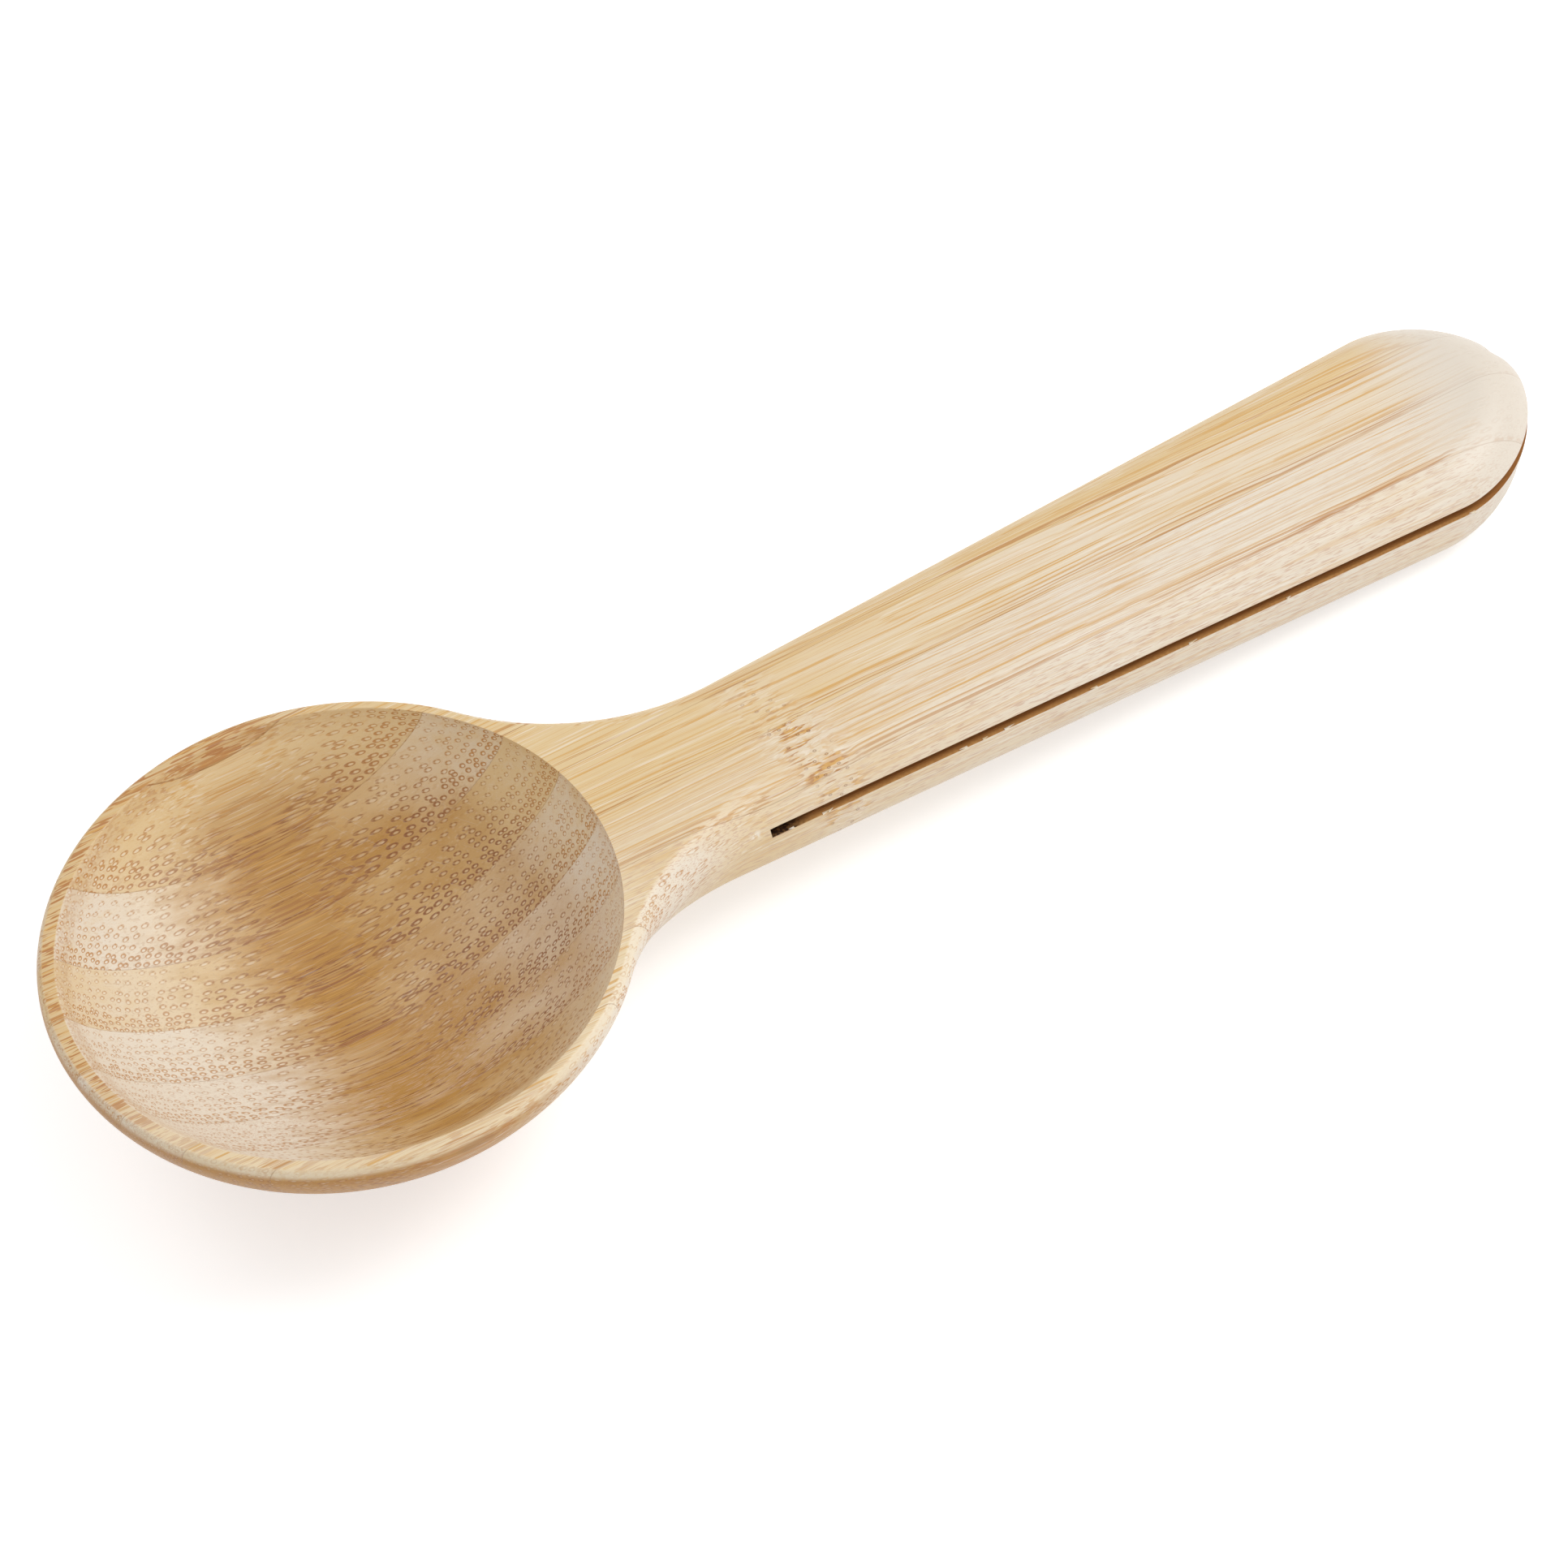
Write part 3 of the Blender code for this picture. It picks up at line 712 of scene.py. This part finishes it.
finishes = {}
jaw_blanks = {}
for index, (name, honey, rosy, knotty) in enumerate(STRIPS):
    strip = blank.copy()
    if index > 0:
        sawn(strip, glue_place(index), (0, -1, 0))
    if index < len(STRIPS) - 1:
        sawn(strip, glue_place(index + 1), (0, 1, 0))
    if name in JAWS:
        jaw_blanks[name] = strip.copy()
        without_lower_jaw(strip)
    finishes[name] = bamboo(name + "_bamboo", index, honey, rosy, knotty)
    piece = finished(strip, name + "_strip_carved", finishes[name])
    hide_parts(name + "_strip")
    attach(piece, "scoop")
blank.free()

slit_floor = slit_start - Vector((0, 0, SLIT_WIDTH))
for name, node in JAWS.items():
    jaw = jaw_blanks[name]
    sawn(jaw, slit_floor, (-1, 0, 0))
    sawn(jaw, slit_floor, (0, 0, 1))
    piece = finished(jaw, node + "_carved", finishes[name])
    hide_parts(node)
    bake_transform(piece)

# Splinters that the saw tore up along the cut's lower lip, on the near side: slivers of pale
# fibre, fast to the lower jaw at one end. Each has its place along the handle and its length,
# in millimetres, and its lift in degrees. Every third one points back to the bowl.
SPLINTERS = (
    (47.6, 0.6, 9),
    (50.9, 1.0, 8),
    (51.6, 0.6, 20),
    (67.6, 0.9, 10),
    (69.4, 0.6, 15),
    (71.9, 1.2, 7),
    (82.6, 0.8, 12),
    (93.2, 1.0, 9),
    (104.5, 0.5, 14),
    (126.3, 0.7, 12),
)
SPLINTER_THICKNESS = 0.00008
SPLINTER_TIP_THICKNESS = SPLINTER_THICKNESS / 8
SPLINTER_WIDTH_SHARE = 2.2
FIBRE_LENGTHWAYS, FIBRE_CROSSWAYS = 900, 9000

slivers = bmesh.new()
lip_depth = SLIT_BELOW_TOP + SLIT_WIDTH
for count, (along, length, lift) in enumerate(SPLINTERS):
    sliver = bmesh.ops.create_cone(
        slivers,
        cap_ends=True,
        segments=6,
        radius1=SPLINTER_THICKNESS,
        radius2=SPLINTER_TIP_THICKNESS,
        depth=length / 1000,
    )["verts"]
    bmesh.ops.translate(slivers, vec=(0, 0, length / 2000), verts=sliver)
    bmesh.ops.scale(slivers, vec=(1, SPLINTER_WIDTH_SHARE, 1), verts=sliver)
    lean = 90 - lift if count % 3 else lift - 90
    turn = Matrix.Rotation(math.radians(lean), 3, "Y")
    bmesh.ops.rotate(slivers, matrix=turn, verts=sliver)
    side = edge_inset(lip_depth) - HANDLE_HALF_WIDTH_AT_BOWL - HANDLE_TAPER * along / 1000
    foot = BLANK_TO_ROW + Vector((along / 1000, side + SPLINTER_THICKNESS, -lip_depth))
    bmesh.ops.translate(slivers, vec=foot, verts=sliver)
bmesh.ops.recalc_face_normals(slivers, faces=slivers.faces)

torn = bpy.data.materials.new("torn_fibre")
torn.use_nodes = True
tree = torn.node_tree
fibre = tree.nodes["Principled BSDF"]
rest = Grain(tree, None).node("TexCoord", None, None, "Object")
x, y, z = rest.parts()
shade = rest.noise(x * FIBRE_LENGTHWAYS, y * FIBRE_CROSSWAYS, z * FIBRE_CROSSWAYS)["Fac"]
tree.links.new(shade.rise(0.35, 0.65).between(HONEY, PITH).socket, fibre.inputs["Base Color"])
fibre.inputs["Roughness"].default_value = 0.7

piece = finished(slivers, "slit_splinters", torn)
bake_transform(piece)

# The table top: a plain pale board, tilted so that the scoop touches it with the lowest spot of
# its dome and the underside of its handle's end, as it lies on a real table.
TABLE_SIZE = 3
TABLE_TILT = math.radians(-4.1)
TABLE_DROP = 0.0004


def seen(tree):
    """1 where a surface is looked at, straight or in gloss or glass, 0 where it gives light."""
    path = Grain(tree, None).node("LightPath")
    return path["Is Camera Ray"] + path["Is Glossy Ray"] + path["Is Transmission Ray"]


pale = bpy.data.materials.new("pale_table")
pale.use_nodes = True
tree = pale.node_tree
table = tree.nodes["Principled BSDF"]
table.inputs["Base Color"].default_value = (0.86, 0.86, 0.86, 1)
table.inputs["Roughness"].default_value = 1
table.inputs["Specular IOR Level"].default_value = 0
table.inputs["Emission Strength"].default_value = 0.50
tree.links.new(seen(tree).socket, table.inputs["Emission Color"])

board = bmesh.new()
bmesh.ops.create_grid(board, x_segments=1, y_segments=1, size=TABLE_SIZE)
board_mesh = bpy.data.meshes.new("floor")
board.to_mesh(board_mesh)
board.free()
board_mesh.materials.append(pale)
floor = bpy.data.objects.new("floor", board_mesh)
floor.rotation_euler = (0, TABLE_TILT, 0)
floor.location = (BLANK_TO_ROW.x, 0, -TABLE_DROP)
bpy.context.scene.collection.objects.link(floor)


# The studio's light: a softbox high over the handle's end, a weaker one high behind the bowl and
# a low one in front that brightens the near side, with an even white surround.
def softbox(name, place, power):
    light = bpy.data.lights.new(name, "AREA")
    light.shape = "SQUARE"
    light.size = 0.5
    light.energy = power
    box = bpy.data.objects.new(name, light)
    box.location = place
    box.rotation_euler = (-Vector(place)).to_track_quat("-Z", "Y").to_euler()
    bpy.context.scene.collection.objects.link(box)


softbox("key_softbox", (0.60, -0.22, 0.74), 3.8)
softbox("fill_softbox", (-0.30, 0.60, 0.70), 1.2)
softbox("low_softbox", (0.10, -0.85, 0.22), 0.9)

world = bpy.data.worlds.new("studio")
bpy.context.scene.world = world
world.use_nodes = True
tree = world.node_tree
surround = tree.nodes["Background"]
surround.inputs["Color"].default_value = (1, 1, 1, 1)
surround.inputs["Strength"].default_value = 0.60
white = tree.nodes.new("ShaderNodeBackground")
mix = tree.nodes.new("ShaderNodeMixShader")
tree.links.new(seen(tree).socket, mix.inputs[0])
tree.links.new(surround.outputs[0], mix.inputs[1])
tree.links.new(white.outputs[0], mix.inputs[2])
tree.links.new(mix.outputs[0], tree.nodes["World Output"].inputs[0])

# The camera. The photograph looks down by 51 degrees, 18 degrees off square to the scoop, and is
# rolled by 12. Its long lens stands well back, and its frame is set off from the bowl's middle.
LENS = 1500
SENSOR_WIDTH = 36
FRAME_WIDTH = 0.16128
FRAME_RIGHT = 0.04608
FRAME_UP = 0.01557
AROUND = math.radians(18.418)
DOWN = math.radians(50.651)
ROLL = math.radians(12.061)

level = Vector((math.cos(AROUND), -math.sin(AROUND), 0))
back = Vector((-math.sin(AROUND), -math.cos(AROUND), 0)) * math.cos(DOWN)
back.z = math.sin(DOWN)
raised = back.cross(level)
right = level * math.cos(ROLL) - raised * math.sin(ROLL)
top = level * math.sin(ROLL) + raised * math.cos(ROLL)
camera = bpy.data.objects.new("camera", bpy.data.cameras.new("camera"))
camera.data.sensor_width = SENSOR_WIDTH
camera.data.lens = LENS
camera.data.clip_start = 0.1
camera.data.clip_end = 100
camera.rotation_mode = "QUATERNION"
camera.rotation_quaternion = Matrix((right, top, back)).transposed().to_quaternion()
camera.location = BLANK_TO_ROW + right * FRAME_RIGHT + top * FRAME_UP
camera.location += back * (FRAME_WIDTH * LENS / SENSOR_WIDTH)
bpy.context.scene.collection.objects.link(camera)
bpy.context.scene.camera = camera

bpy.context.scene.view_settings.view_transform = "Standard"
